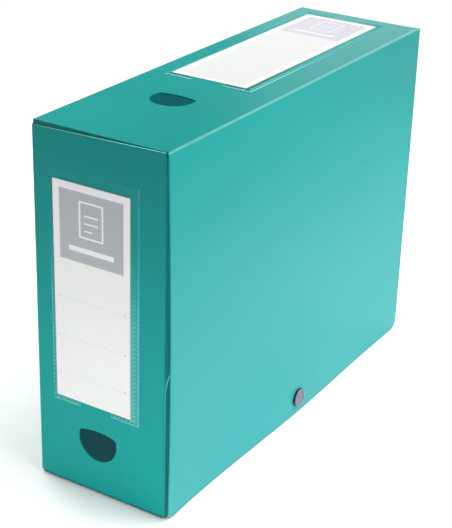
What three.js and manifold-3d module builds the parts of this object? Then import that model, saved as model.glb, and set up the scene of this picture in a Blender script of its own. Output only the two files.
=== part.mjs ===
// A flat-packed box file of polypropylene sheet, standing on its long narrow side.
// One cut sheet folds into the box; its lid hangs from a crease along the top wall
// and closes with a press stud. Two label pockets of clear film are welded to it.
// Millimetres. +Z is up, the narrow front wall faces -Y, the lid faces +X.
// The origin is the centre of the bottom wall's underside.

import * as THREE from 'three';
import { mergeVertices } from 'three/addons/utils/BufferGeometryUtils.js';
import Module from 'manifold-3d';

// Overall sizes of the folded box
const boxWidth = 100;
const boxDepth = 330;
const boxHeight = 250;
const sheet = 0.8;
const layerGap = 0.3;

// Folds, as outer radii
const foldRadius = 1.6;
const earFoldRadius = 1.2;
const flapFoldRadius = 1.2;

// Flaps and ears behind the walls
const sideFlapWidth = 60;
const bottomFlapHeight = 110;
const flapRootHeight = 3.2;
const bottomFlapCorner = 20;
const topEarLength = 60;
const bottomEarLength = 20;
const earSideClearance = 0.5;

// Free edges of the narrow end walls
const endWallFootGap = 1.2;
const endWallDropAtBase = 3.3;
const endWallDropAtLid = 0.2;
const flapHeadGap = 0.3;
const endWallFootChamfer = 3;

// Half-moon finger holes, one in the front wall and one in the top wall
const holeRadius = 15;
const holeFlatHeight = 5.8;
const holeFlatCrown = 1.4;
const holeCornerRadius = 3;
const frontHole = { x: -2.4, z: 40.2 };
const topHole = { x: -3, y: -82 };

// Lid: how far the loose sheet stands away from the box, in the order
// along its front edge, round the stud, and at its front bottom corner
const lidFootGap = 0.8;
const lidHeadGap = 0.1;
const lidCorner = 7;
const lidFrontBow = 3.2;
const lidFrontBowReach = 26;
const lidFrontBowSpread = 0.5;
const lidBowTurn = 0.75 * Math.PI;
const lidStudBow = 2.4;
const lidStudBowLength = 55;
const lidStudBowHeight = 45;
const lidColumns = 30;
const lidRows = 20;
const lidRowCrowding = 1.8;

// Press stud
const studHeight = 13.5;
const studY = 0;
const capRadius = 6.7;
const capThickness = 1.9;
const capEdgeRound = 0.5;
const studDiscRadius = 5.8;
const postRadius = 1.7;
const postHoleRadius = 2;
const socketThickness = 1.65;
const socketBoreRadius = 2.4;
const socketWeb = 0.65;
const ballRadius = 1.9;
const ballNeckRadius = 1.6;
const ballDiscThickness = 0.7;
const ballHeight = 0.85;
const backDiscThickness = 1;
const studSeat = 0.1;
const postEndGap = 0.1;

// Label pockets: clear film held by welded strips, open at the middle of both ends
const filmThickness = 0.2;
const pocketRise = 0.75;
const pocketCorner = 1;
const pocketWidth = 67.6;
const nearWeld = 2.4;
const farWeld = 6.4;
const endWeld = 3.3;
const endWeldArm = 21.5;
const cardWidth = 58;
const cardThickness = 0.3;
const cardFloat = 0.1;
const cardSideGap = 0.3;
const frontPocket = { left: -36.9, low: 61.9, length: 161, cardLow: 3.7, cardLength: 150.5 };
const topPocket = { left: -36.9, low: -43, length: 195, cardLow: 5.6, cardLength: 183.5 };

// Places worked out from the sizes above
const baseX = -boxWidth / 2;
const flapX = boxWidth / 2;
const sideFlapX = flapX - sheet - layerGap;
const endY = boxDepth / 2;
const earY = endY - sheet - layerGap;
const earLowX = baseX + sheet + earSideClearance;
const earHighX = sideFlapX - sheet - earSideClearance;
const wrapY = earY - earFoldRadius;
const hingeX = flapX + layerGap + sheet;
const arcSteps = 8;
const roundSteps = 32;
const cutMargin = 5;

const xAxis = new THREE.Vector3(1, 0, 0);
const yAxis = new THREE.Vector3(0, 1, 0);
const zAxis = new THREE.Vector3(0, 0, 1);

const wasm = await Module();
wasm.setup();

// Solids for joining and cutting

function toSolid(geometry) {
  const plain = geometry.index ? geometry.toNonIndexed() : geometry.clone();
  plain.deleteAttribute('normal');
  plain.deleteAttribute('uv');
  const merged = mergeVertices(plain, 1e-5);
  return new wasm.Manifold(new wasm.Mesh({
    numProp: 3,
    vertProperties: new Float32Array(merged.attributes.position.array),
    triVerts: new Uint32Array(merged.index.array),
  }));
}

function toGeometry(solid) {
  const mesh = solid.getMesh();
  const positions = new Float32Array(mesh.numVert * 3);
  for (let i = 0; i < mesh.numVert; i += 1) {
    for (let k = 0; k < 3; k += 1) positions[3 * i + k] = mesh.vertProperties[mesh.numProp * i + k];
  }
  const geometry = new THREE.BufferGeometry();
  geometry.setAttribute('position', new THREE.BufferAttribute(positions, 3));
  geometry.setIndex(Array.from(mesh.triVerts));
  geometry.computeVertexNormals();
  return geometry;
}

function join(solids) {
  return solids.reduce((whole, next) => whole.add(next));
}

// An extruded outline whose u and v axes lie along two world axes, starting at the origin given
function extrude(outline, depth, u, v, origin) {
  const geometry = new THREE.ExtrudeGeometry(outline, { depth, bevelEnabled: false, curveSegments: arcSteps });
  const w = new THREE.Vector3().crossVectors(u, v);
  geometry.applyMatrix4(new THREE.Matrix4().makeBasis(u, v, w).setPosition(origin));
  return geometry;
}

function block(low, high) {
  const size = high.map((value, k) => value - low[k]);
  const geometry = new THREE.BoxGeometry(...size);
  geometry.translate(...low.map((value, k) => value + size[k] / 2));
  return geometry;
}

// A body of revolution about a line along X, from a profile of [radius, x] pairs
function turnedAboutX(profile, y, z) {
  const points = profile.map(([radius, x]) => new THREE.Vector2(radius, x));
  const geometry = new THREE.LatheGeometry(points, roundSteps);
  const basis = new THREE.Matrix4().makeBasis(yAxis, xAxis, zAxis.clone().negate());
  geometry.applyMatrix4(basis.setPosition(0, y, z));
  return geometry;
}

// The section of a bent sheet: corners are [u, v, outer fold radius] along its outer face,
// and the sheet's thickness lies to the left of the way that they run
function bentSheet(corners, thickness) {
  const outer = [];
  const inner = [];
  corners.forEach(([u, v, radius], i) => {
    const here = new THREE.Vector2(u, v);
    const before = i > 0 ? here.clone().sub(new THREE.Vector2(...corners[i - 1])).normalize() : null;
    const after = i + 1 < corners.length
      ? new THREE.Vector2(...corners[i + 1]).sub(here).normalize() : null;
    if (!before || !after) {
      const along = before ?? after;
      outer.push(here);
      inner.push(new THREE.Vector2(u - along.y * thickness, v + along.x * thickness));
      return;
    }
    const centre = new THREE.Vector2(u - before.x * radius - before.y * radius,
      v - before.y * radius + before.x * radius);
    const start = Math.atan2(-before.x, before.y);
    for (let k = 0; k <= arcSteps; k += 1) {
      const angle = start + (k / arcSteps) * (Math.PI / 2);
      const ray = new THREE.Vector2(Math.cos(angle), Math.sin(angle));
      outer.push(centre.clone().addScaledVector(ray, radius));
      inner.push(centre.clone().addScaledVector(ray, radius - thickness));
    }
  });
  return new THREE.Shape([...outer, ...inner.reverse()]);
}

// A rectangle whose four corners are rounded by the radii given, from the low left corner anticlockwise
function roundedRectangle(low, high, radii) {
  const [r0, r1, r2, r3] = radii;
  const shape = new THREE.Shape();
  shape.moveTo(low[0] + r0, low[1]);
  shape.lineTo(high[0] - r1, low[1]);
  if (r1) shape.absarc(high[0] - r1, low[1] + r1, r1, -Math.PI / 2, 0);
  shape.lineTo(high[0], high[1] - r2);
  if (r2) shape.absarc(high[0] - r2, high[1] - r2, r2, 0, Math.PI / 2);
  shape.lineTo(low[0] + r3, high[1]);
  if (r3) shape.absarc(low[0] + r3, high[1] - r3, r3, Math.PI / 2, Math.PI);
  shape.lineTo(low[0], low[1] + r0);
  if (r0) shape.absarc(low[0] + r0, low[1] + r0, r0, Math.PI, 1.5 * Math.PI);
  return shape;
}

// A disc cut by a crowned chord, with the two corners rounded
function halfMoon(centreU, centreV) {
  const cornerV = holeFlatHeight - holeCornerRadius;
  const cornerU = Math.sqrt((holeRadius - holeCornerRadius) ** 2 - cornerV ** 2);
  const turn = Math.atan2(cornerV, cornerU);
  const shape = new THREE.Shape();
  shape.absarc(centreU, centreV, holeRadius, turn, Math.PI - turn, true);
  shape.absarc(centreU - cornerU, centreV + cornerV, holeCornerRadius, Math.PI - turn, Math.PI / 2, true);
  shape.quadraticCurveTo(centreU, centreV + holeFlatHeight + 2 * holeFlatCrown,
    centreU + cornerU, centreV + holeFlatHeight);
  shape.absarc(centreU + cornerU, centreV + cornerV, holeCornerRadius, Math.PI / 2, turn, true);
  return shape;
}

// Box shell: every wall, flap and ear of the folded sheet but the lid

// Top wall, base panel, bottom wall and the root of the bottom flap
function wrap() {
  const section = bentSheet([
    [flapX, boxHeight, 0],
    [baseX, boxHeight, foldRadius],
    [baseX, 0, foldRadius],
    [flapX, 0, foldRadius],
    [flapX, flapRootHeight, 0],
  ], sheet);
  return extrude(section, 2 * wrapY, xAxis, zAxis, new THREE.Vector3(0, wrapY, 0));
}

// Side flap, back wall, base panel, front wall and the other side flap
function band() {
  const flapEnd = endY - sideFlapWidth;
  const section = bentSheet([
    [sideFlapX, flapEnd, 0],
    [sideFlapX, endY, flapFoldRadius],
    [baseX, endY, foldRadius],
    [baseX, -endY, foldRadius],
    [sideFlapX, -endY, flapFoldRadius],
    [sideFlapX, -flapEnd, 0],
  ], sheet);
  const low = new THREE.Vector3(0, 0, endWallFootGap);
  const whole = toSolid(extrude(section, boxHeight - endWallFootGap, xAxis, yAxis, low));
  const cuts = [];
  const topAtBase = boxHeight - endWallDropAtBase;
  const topAtLid = boxHeight - endWallDropAtLid;
  const slope = new THREE.Shape([
    new THREE.Vector2(baseX - cutMargin, topAtBase),
    new THREE.Vector2(baseX, topAtBase),
    new THREE.Vector2(sideFlapX, topAtLid),
    new THREE.Vector2(sideFlapX + cutMargin, topAtLid),
    new THREE.Vector2(sideFlapX + cutMargin, boxHeight + cutMargin),
    new THREE.Vector2(baseX - cutMargin, boxHeight + cutMargin),
  ]);
  const across = boxDepth + 2 * cutMargin;
  cuts.push(extrude(slope, across, xAxis, zAxis, new THREE.Vector3(0, across / 2, 0)));
  const flapTop = boxHeight - sheet - flapHeadGap;
  cuts.push(block([sideFlapX - foldRadius - sheet, -earY, flapTop],
    [sideFlapX + cutMargin, earY, boxHeight + cutMargin]));
  const foot = new THREE.Shape([
    new THREE.Vector2(baseX - cutMargin, endWallFootGap - cutMargin),
    new THREE.Vector2(baseX + endWallFootChamfer + cutMargin, endWallFootGap - cutMargin),
    new THREE.Vector2(baseX - cutMargin, endWallFootGap + endWallFootChamfer + cutMargin),
  ]);
  const footDepth = foldRadius + cutMargin;
  [-1, 1].forEach((side) => {
    const start = side < 0 ? -endY + foldRadius : endY + cutMargin;
    cuts.push(extrude(foot, footDepth, xAxis, zAxis, new THREE.Vector3(0, start, 0)));
  });
  return cuts.reduce((left, cut) => left.subtract(toSolid(cut)), whole);
}

function topEars() {
  const section = bentSheet([
    [earY, boxHeight - topEarLength, 0],
    [earY, boxHeight, earFoldRadius],
    [-earY, boxHeight, earFoldRadius],
    [-earY, boxHeight - topEarLength, 0],
  ], sheet);
  return extrude(section, earHighX - earLowX, yAxis, zAxis, new THREE.Vector3(earLowX, 0, 0));
}

function bottomEars() {
  const section = bentSheet([
    [-earY, bottomEarLength, 0],
    [-earY, 0, foldRadius],
    [earY, 0, foldRadius],
    [earY, bottomEarLength, 0],
  ], sheet);
  return extrude(section, earHighX - earLowX, yAxis, zAxis, new THREE.Vector3(earLowX, 0, 0));
}

function bottomFlap() {
  const outline = roundedRectangle([-endY + layerGap, foldRadius], [endY - layerGap, bottomFlapHeight],
    [0, 0, bottomFlapCorner, bottomFlapCorner]);
  return extrude(outline, sheet, yAxis, zAxis, new THREE.Vector3(flapX - sheet, 0, 0));
}

function studHole(x) {
  return turnedAboutX([[0, x - cutMargin], [postHoleRadius, x - cutMargin],
    [postHoleRadius, x + cutMargin], [0, x + cutMargin]], studY, studHeight);
}

function boxShell() {
  const body = join([toSolid(wrap()), band(), toSolid(topEars()), toSolid(bottomEars()),
    toSolid(bottomFlap())]);
  const cutDepth = sheet + 2 * layerGap;
  const inFront = new THREE.Vector3(0, -endY + sheet + layerGap / 2, 0);
  const inTop = new THREE.Vector3(0, 0, boxHeight - sheet - layerGap);
  return [
    extrude(halfMoon(frontHole.x, frontHole.z), cutDepth, xAxis, zAxis, inFront),
    extrude(halfMoon(topHole.x, topHole.y), cutDepth, xAxis, yAxis, inTop),
    studHole(flapX),
  ].reduce((left, cut) => left.subtract(toSolid(cut)), body);
}

// Lid: a flexible sheet, so it stands a little away from the box where nothing holds it

function lidBow(y, z) {
  const drop = Math.min(Math.max((boxHeight - z) / boxHeight, 0), 1);
  const reach = lidFrontBowReach + lidFrontBowSpread * z;
  const alongFront = lidFrontBow * Math.sin(lidBowTurn * drop) * Math.exp(-(y + endY) / reach);
  const across = (y - studY) / lidStudBowLength;
  const up = (z - studHeight) / lidStudBowHeight;
  return alongFront + lidStudBow * Math.exp(-(across ** 2 + up ** 2) / 2);
}

function lidOuterX(y, z) {
  return hingeX + lidBow(y, z);
}

function lid() {
  const top = boxHeight - lidHeadGap;
  const height = top - lidFootGap;
  const geometry = new THREE.BoxGeometry(sheet, boxDepth, height, 1, lidColumns, lidRows);
  const position = geometry.attributes.position;
  for (let i = 0; i < position.count; i += 1) {
    const rowShare = Math.max(position.getZ(i) / height + 0.5, 0);
    const fromFoot = rowShare ** lidRowCrowding * height;
    const intoCorner = Math.max(lidCorner - fromFoot, 0);
    const inset = lidCorner - Math.sqrt(lidCorner ** 2 - intoCorner ** 2);
    const y = position.getY(i) * (1 - inset / endY);
    const z = lidFootGap + fromFoot;
    position.setXYZ(i, position.getX(i) - sheet / 2 + lidOuterX(y, z), y, z);
  }
  return toSolid(geometry).subtract(toSolid(studHole(lidOuterX(studY, studHeight))));
}

// Press stud: cap and socket clench the lid, ball and back disc clench the bottom flap

// The ball's profile above its disc, as shares of its height and radius
const ballProfile = [
  { height: 0.5, radius: 1 },
  { height: 0.8, radius: 0.9 },
  { height: 1, radius: 0.6 },
];
const ballNeckShare = 0.2;

const lidOuterAtStud = lidOuterX(studY, studHeight);
const lidInnerAtStud = lidOuterAtStud - sheet;
const socketHead = lidInnerAtStud - studSeat;
const socketMouth = socketHead - socketThickness;
const ballSeat = flapX + studSeat;
const ballDiscTop = ballSeat + ballDiscThickness;
const backHead = flapX - sheet - studSeat;

function studCap() {
  const under = lidOuterAtStud + studSeat;
  const face = under + capThickness;
  const postEnd = socketHead - socketWeb + postEndGap;
  const round = [];
  for (let k = 0; k <= arcSteps; k += 1) {
    const angle = (k / arcSteps) * (Math.PI / 2);
    round.push([capRadius - capEdgeRound + capEdgeRound * Math.cos(angle),
      face - capEdgeRound + capEdgeRound * Math.sin(angle)]);
  }
  return turnedAboutX([[0, postEnd], [postRadius, postEnd], [postRadius, under], [capRadius, under],
    ...round, [0, face]], studY, studHeight);
}

function studSocket() {
  const webEnd = socketHead - socketWeb;
  return turnedAboutX([[postHoleRadius, webEnd], [socketBoreRadius, webEnd],
    [socketBoreRadius, socketMouth], [studDiscRadius, socketMouth], [studDiscRadius, socketHead],
    [postHoleRadius, socketHead], [postHoleRadius, webEnd]], studY, studHeight);
}

function studBall() {
  const boreEnd = ballDiscTop - layerGap;
  const ball = ballProfile.map((step) => [step.radius * ballRadius, ballDiscTop + step.height * ballHeight]);
  return turnedAboutX([[0, boreEnd], [postHoleRadius, boreEnd], [postHoleRadius, ballSeat],
    [studDiscRadius, ballSeat], [studDiscRadius, ballDiscTop], [ballNeckRadius, ballDiscTop],
    [ballNeckRadius, ballDiscTop + ballNeckShare * ballHeight], ...ball, [0, ballDiscTop + ballHeight]],
  studY, studHeight);
}

function studBack() {
  const boreEnd = ballDiscTop - layerGap - postEndGap;
  return turnedAboutX([[0, backHead - backDiscThickness], [studDiscRadius, backHead - backDiscThickness],
    [studDiscRadius, backHead], [postRadius, backHead], [postRadius, boreEnd], [0, boreEnd]],
  studY, studHeight);
}

// Label pockets and their cards, drawn flat in u and v and laid on a wall's outer face

function pocket(place, u, v, face) {
  const right = place.left + pocketWidth;
  const top = place.low + place.length;
  const corners = Array(4).fill(pocketCorner);
  const film = roundedRectangle([place.left, place.low], [right, top], corners);
  const lift = new THREE.Vector3().crossVectors(u, v);
  const filmOrigin = face.clone().addScaledVector(lift, pocketRise - filmThickness);
  const strips = [
    [[place.left, place.low], [place.left + nearWeld, top]],
    [[right - farWeld, place.low], [right, top]],
  ];
  [place.low, top - endWeld].forEach((low) => {
    strips.push([[place.left, low], [place.left + endWeldArm, low + endWeld]]);
    strips.push([[right - endWeldArm, low], [right, low + endWeld]]);
  });
  const welds = join(strips.map(([low, high]) => toSolid(
    extrude(roundedRectangle(low, high, [0, 0, 0, 0]), pocketRise, u, v, face))));
  const outline = toSolid(extrude(film, pocketRise, u, v, face));
  return welds.intersect(outline).add(toSolid(extrude(film, filmThickness, u, v, filmOrigin)));
}

function card(place, u, v, face) {
  const left = place.left + nearWeld + cardSideGap;
  const low = place.low + place.cardLow;
  const outline = roundedRectangle([left, low], [left + cardWidth, low + place.cardLength], [0, 0, 0, 0]);
  const lift = new THREE.Vector3().crossVectors(u, v);
  return extrude(outline, cardThickness, u, v, face.clone().addScaledVector(lift, cardFloat));
}

// Materials

const polypropylene = new THREE.MeshStandardMaterial({ color: '#1f9d94', roughness: 0.38, metalness: 0 });
const lidPolypropylene = new THREE.MeshStandardMaterial({ color: '#35b3ac', roughness: 0.35, metalness: 0 });
const studMetal = new THREE.MeshStandardMaterial({ color: '#a79ea2', roughness: 0.35, metalness: 0.6 });
const studDark = new THREE.MeshStandardMaterial({ color: '#3b3d40', roughness: 0.4, metalness: 0.6 });
const clearFilm = new THREE.MeshStandardMaterial({
  color: '#dff3ef', roughness: 0.15, metalness: 0, transparent: true, opacity: 0.25,
});
const whiteCard = new THREE.MeshStandardMaterial({ color: '#eef0f2', roughness: 0.7, metalness: 0 });

// The model

const model = new THREE.Group();

function addPiece(parent, name, geometry, material) {
  const mesh = new THREE.Mesh(geometry, material);
  mesh.name = name;
  parent.add(mesh);
}

const frontFace = new THREE.Vector3(0, -endY, 0);
const topFace = new THREE.Vector3(0, 0, boxHeight);

const fixed = new THREE.Group();
addPiece(fixed, 'box_shell', toGeometry(boxShell()), polypropylene);
addPiece(fixed, 'front_label_pocket', toGeometry(pocket(frontPocket, xAxis, zAxis, frontFace)), clearFilm);
addPiece(fixed, 'front_label_card', card(frontPocket, xAxis, zAxis, frontFace), whiteCard);
addPiece(fixed, 'top_label_pocket', toGeometry(pocket(topPocket, xAxis, yAxis, topFace)), clearFilm);
addPiece(fixed, 'top_label_card', card(topPocket, xAxis, yAxis, topFace), whiteCard);
addPiece(fixed, 'stud_ball', studBall(), studDark);
addPiece(fixed, 'stud_back', studBack(), studDark);
model.add(fixed);

const hinged = new THREE.Group();
addPiece(hinged, 'lid', toGeometry(lid()), lidPolypropylene);
addPiece(hinged, 'stud_cap', studCap(), studMetal);
addPiece(hinged, 'stud_socket', studSocket(), studDark);
model.add(hinged);

export default model;
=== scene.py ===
"""Looks of a folding box file: glossy plastic sheet, clear label pockets, printed cards and a press stud.

Everything is in metres in the part's own frame: +Z is up, the narrow front wall faces -Y
and the lid faces +X. New pieces are surfaces computed as whole numpy arrays.
"""

from __future__ import annotations

import logging
import math
from dataclasses import dataclass, field
from enum import Enum
from functools import reduce
from typing import Callable

import bpy
import numpy as np
from mathutils import Matrix, Vector

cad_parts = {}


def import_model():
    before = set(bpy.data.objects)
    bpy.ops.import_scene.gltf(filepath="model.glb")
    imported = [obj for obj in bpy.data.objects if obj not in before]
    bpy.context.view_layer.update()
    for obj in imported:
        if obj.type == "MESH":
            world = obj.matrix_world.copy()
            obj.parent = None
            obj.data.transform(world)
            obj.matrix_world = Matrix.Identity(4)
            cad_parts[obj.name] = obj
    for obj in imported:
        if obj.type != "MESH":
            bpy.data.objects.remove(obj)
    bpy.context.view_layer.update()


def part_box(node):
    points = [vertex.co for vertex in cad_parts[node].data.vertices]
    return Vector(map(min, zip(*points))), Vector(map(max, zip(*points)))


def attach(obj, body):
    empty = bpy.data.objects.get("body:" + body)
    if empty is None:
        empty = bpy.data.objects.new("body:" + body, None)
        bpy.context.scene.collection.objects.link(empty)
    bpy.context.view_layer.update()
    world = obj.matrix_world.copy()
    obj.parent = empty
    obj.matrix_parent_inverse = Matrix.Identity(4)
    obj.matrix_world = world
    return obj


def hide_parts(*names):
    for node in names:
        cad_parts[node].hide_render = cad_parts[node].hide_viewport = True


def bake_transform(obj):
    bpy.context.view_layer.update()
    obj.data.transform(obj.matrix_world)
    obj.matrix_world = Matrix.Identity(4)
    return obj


LOG = logging.getLogger("box_file")
MM = 0.001
SHEET = 0.8 * MM
BOX_DEPTH = 330 * MM
BOX_HEIGHT = 250 * MM
PLASTIC_IOR = 1.49
Colour = tuple[float, float, float]
Place = tuple[float, float, float]


# Shader arithmetic


class Signal:
    """A shader socket that takes part in Python arithmetic."""

    def __init__(self, graph: Graph, socket: bpy.types.NodeSocket) -> None:
        """Keeps the socket and the graph that it belongs to."""
        self.graph = graph
        self.socket = socket

    def __add__(self, other: Signal | float) -> Signal:
        """Sum of two values."""
        return self.graph.math("ADD", self, other)

    __radd__ = __add__

    def __sub__(self, other: Signal | float) -> Signal:
        """This value less another."""
        return self.graph.math("SUBTRACT", self, other)

    def __rsub__(self, other: float) -> Signal:
        """A number less this value."""
        return self.graph.math("SUBTRACT", other, self)

    def __mul__(self, other: Signal | float) -> Signal:
        """Product of two values."""
        return self.graph.math("MULTIPLY", self, other)

    __rmul__ = __mul__

    def __abs__(self) -> Signal:
        """Distance from zero."""
        return self.graph.math("ABSOLUTE", self)

    def above(self, edge: float, blur: float) -> Signal:
        """0 below the edge and 1 above it, rising smoothly over the blur."""
        return self.graph.step(self, edge - blur / 2, edge + blur / 2)

    def below(self, edge: float, blur: float) -> Signal:
        """1 below the edge and 0 above it."""
        return self.graph.step(self, edge + blur / 2, edge - blur / 2)

    def within(self, low: float, high: float, blur: float) -> Signal:
        """1 between two edges and 0 outside them."""
        return self.above(low, blur) * self.below(high, blur)

    def either(self, other: Signal) -> Signal:
        """The larger of two masks."""
        return self.graph.math("MAXIMUM", self, other)


class Graph:
    """The node tree of one material, with a method for its nodes and short forms for the common ones."""

    def __init__(self, name: str) -> None:
        """Starts an empty material with a Principled shader and its output.

        Args:
            name: the material's name.
        """
        self.material = bpy.data.materials.new(name)
        self.material.use_nodes = True
        self.tree = self.material.node_tree
        self.tree.nodes.clear()
        self.shader = self.node("ShaderNodeBsdfPrincipled")
        output = self.node("ShaderNodeOutputMaterial")
        self.tree.links.new(self.shader.outputs[0], output.inputs["Surface"])

    def node(self, kind: str, settings: dict | None = None, inputs: dict | None = None) -> bpy.types.Node:
        """Adds a node.

        Args:
            kind: the node's type.
            settings: its properties, which are set first.
            inputs: values, signals or sockets for its inputs, by name or index.

        Returns:
            The new node.
        """
        made = self.tree.nodes.new(kind)
        for key, value in (settings or {}).items():
            setattr(made, key, value)
        for key, value in (inputs or {}).items():
            self.feed(made.inputs[key], value)
        return made

    def feed(self, socket: bpy.types.NodeSocket, value: object) -> None:
        """Links a signal or socket to an input, or sets its number or colour.

        Args:
            socket: the input.
            value: a signal, a socket, a number, or a colour of three channels.
        """
        if isinstance(value, Signal):
            self.tree.links.new(value.socket, socket)
        elif isinstance(value, bpy.types.NodeSocket):
            self.tree.links.new(value, socket)
        elif socket.type == "RGBA" and not isinstance(value, (int, float)) and len(value) == 3:
            socket.default_value = (*value, 1.0)
        else:
            socket.default_value = value

    def math(self, operation: str, *values: Signal | float) -> Signal:
        """One Math node of the operation given, on one or more values."""
        made = self.node("ShaderNodeMath", {"operation": operation}, dict(enumerate(values)))
        return Signal(self, made.outputs[0])

    def step(self, value: Signal, start: float, end: float) -> Signal:
        """0 where the value is at start and 1 where it is at end, smoothly between.

        Args:
            value: the value.
            start: where the result is 0.
            end: where it is 1.

        Returns:
            The result, a cubic between the two.
        """
        made = self.node(
            "ShaderNodeMapRange",
            {"interpolation_type": "SMOOTHSTEP"},
            {"Value": value, "From Min": start, "From Max": end},
        )
        return Signal(self, made.outputs["Result"])

    def place(self) -> tuple[Signal, Signal, Signal]:
        """Object coordinates as three signals, in metres."""
        source = self.node("ShaderNodeTexCoord").outputs["Object"]
        return self.split(source)

    def facing(self) -> tuple[Signal, Signal, Signal]:
        """The surface normal's three components."""
        return self.split(self.node("ShaderNodeNewGeometry").outputs["Normal"])

    def split(self, source: bpy.types.NodeSocket) -> tuple[Signal, Signal, Signal]:
        """The three components of a vector."""
        made = self.node("ShaderNodeSeparateXYZ", inputs={0: source})
        return Signal(self, made.outputs[0]), Signal(self, made.outputs[1]), Signal(self, made.outputs[2])

    def noise(self, scale: float, detail: float = 3.0, rough: float = 0.5) -> Signal:
        """Fractal noise on Object coordinates, about 0.5 on average.

        Args:
            scale: cells in a metre.
            detail: how many finer layers are added.
            rough: how strong each layer is beside the one before.

        Returns:
            The noise.
        """
        source = self.node("ShaderNodeTexCoord").outputs["Object"]
        inputs = {"Vector": source, "Scale": scale, "Detail": detail, "Roughness": rough}
        return Signal(self, self.node("ShaderNodeTexNoise", inputs=inputs).outputs["Fac"])

    def blend(self, mask: Signal, first: object, second: object) -> bpy.types.NodeSocket:
        """The first colour where the mask is 0 and the second where it is 1.

        Args:
            mask: the share of the second colour.
            first: a colour or a socket.
            second: a colour or a socket.

        Returns:
            The socket of the mixed colour.
        """
        first_in, second_in, out = 6, 7, 2
        inputs = {0: mask, first_in: first, second_in: second}
        return self.node("ShaderNodeMix", {"data_type": "RGBA"}, inputs).outputs[out]

    def relief(self, height: Signal, strength: float, distance: float) -> bpy.types.NodeSocket:
        """A normal bumped by a height signal."""
        inputs = {"Height": height, "Strength": strength, "Distance": distance}
        return self.node("ShaderNodeBump", inputs=inputs).outputs["Normal"]

    def surface(self, **inputs: object) -> bpy.types.Material:
        """Feeds the Principled shader.

        Args:
            inputs: what its inputs get, named with underscores for spaces.

        Returns:
            The finished material.
        """
        for key, value in inputs.items():
            self.feed(self.shader.inputs[key.replace("_", " ")], value)
        return self.material


# Finishes


@dataclass(frozen=True)
class SheetFinish:
    """Glossy polypropylene sheet with a fine grain. Masks lay painted highlights, painted shade, a painted
    sheen and a painted glow over its green.
    """

    colour: Colour = (0.004, 0.335, 0.305)
    deep: Colour = (0.004, 0.312, 0.286)
    # The next tone is painted shade, laid on the end walls' upper part and the lid's upper back corner.
    painted_shade_colour: Colour = (0.003, 0.250, 0.243)
    # edge is the colour of the painted highlights on trimmed edges and creases.
    edge: Colour = (0.25, 0.95, 0.82)
    # pale is the colour of the painted sheen, the bright floor's reflection on the lid's lower part.
    pale: Colour = (0.032, 0.328, 0.328)
    # shade is the colour of the painted shade at bends and along the lid's rim.
    shade: Colour = (0.002, 0.070, 0.068)
    # The two glow tones are emission that paints light on the inner faces, dimmer low and brighter high.
    painted_glow_low: Colour = (0.012, 0.040, 0.050)
    painted_glow_high: Colour = (0.008, 0.105, 0.115)
    roughness: float = 0.30
    specular: float = 0.12
    grain_scale: float = 1400.0
    grain_gloss: float = 0.12
    grain_relief: float = 0.35
    grain_depth: float = 0.02 * MM
    cloud_scale: float = 9.0
    cloud_gloss: float = 0.08
    glow_middle: float = 120 * MM
    glow_blur: float = 240 * MM

    def material(
        self,
        name: str,
        painted_highlight: Callable[[Graph], Signal],
        painted_shade: Callable[[Graph], Signal] | None = None,
        painted_fold_shade: Callable[[Graph], Signal] | None = None,
        inside: Callable[[Graph], Signal] | None = None,
        painted_lower_sheen: Callable[[Graph], Signal] | None = None,
    ) -> bpy.types.Material:
        """Builds the sheet's material: its own green, then each mask's colour laid over the last.

        Args:
            name: the material's name.
            painted_highlight: gives the mask of the painted highlights on trimmed edges and creases, in the
                graph passed to it.
            painted_shade: gives the mask of the painted shade that darkens a wall's upper part.
            painted_fold_shade: gives the mask of the painted shade along the bends.
            inside: gives the mask of the faces where emission paints a glow of light.
            painted_lower_sheen: gives the mask of the painted sheen that lightens part of the sheet.

        Returns:
            The material.
        """
        graph = Graph(name)
        cloud = graph.noise(self.cloud_scale, 2.0)
        grain = graph.noise(self.grain_scale, 2.0)
        body = graph.blend(cloud.above(0.5, 0.5), self.deep, self.colour)
        # Painted sheen, painted shade on walls and at bends, and painted highlights are laid over the
        # sheet's own green.
        if painted_lower_sheen:
            body = graph.blend(painted_lower_sheen(graph), body, self.pale)
        if painted_shade:
            body = graph.blend(painted_shade(graph), body, self.painted_shade_colour)
        if painted_fold_shade:
            body = graph.blend(painted_fold_shade(graph), body, self.shade)
        colour = graph.blend(painted_highlight(graph), body, self.edge)
        if inside:
            # Emission paints a glow of light on the masked faces; the sheet is no lamp.
            rising = graph.place()[2].above(self.glow_middle, self.glow_blur)
            glow = graph.blend(rising, self.painted_glow_low, self.painted_glow_high)
            graph.surface(Emission_Color=graph.blend(inside(graph), (0, 0, 0), glow), Emission_Strength=1.0)
        return graph.surface(
            Base_Color=colour,
            Roughness=self.roughness + (grain - 0.5) * self.grain_gloss + (cloud - 0.5) * self.cloud_gloss,
            Normal=graph.relief(grain, self.grain_relief, self.grain_depth),
            IOR=PLASTIC_IOR,
            Specular_IOR_Level=self.specular,
        )


@dataclass(frozen=True)
class FilmFinish:
    """Clear film that shows mostly by its gloss."""

    colour: Colour = (0.10, 0.42, 0.40)
    milky: Colour = (0.20, 0.52, 0.50)
    alpha: float = 0.014
    roughness: float = 0.16
    cloud_scale: float = 28.0
    cloud_alpha: float = 0.02
    cloud_gloss: float = 0.1
    cloud_relief: float = 0.25
    cloud_depth: float = 0.4 * MM

    def material(self, name: str) -> bpy.types.Material:
        """Builds the film's material, a little cloudier where the noise is high.

        Args:
            name: the material's name.

        Returns:
            The material.
        """
        graph = Graph(name)
        cloud = graph.noise(self.cloud_scale, 2.0)
        return graph.surface(
            Base_Color=graph.blend(cloud, self.colour, self.milky),
            Alpha=self.alpha + (cloud - 0.5) * self.cloud_alpha,
            Roughness=self.roughness + (cloud - 0.5) * self.cloud_gloss,
            Normal=graph.relief(cloud, self.cloud_relief, self.cloud_depth),
            IOR=PLASTIC_IOR,
        )


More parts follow.
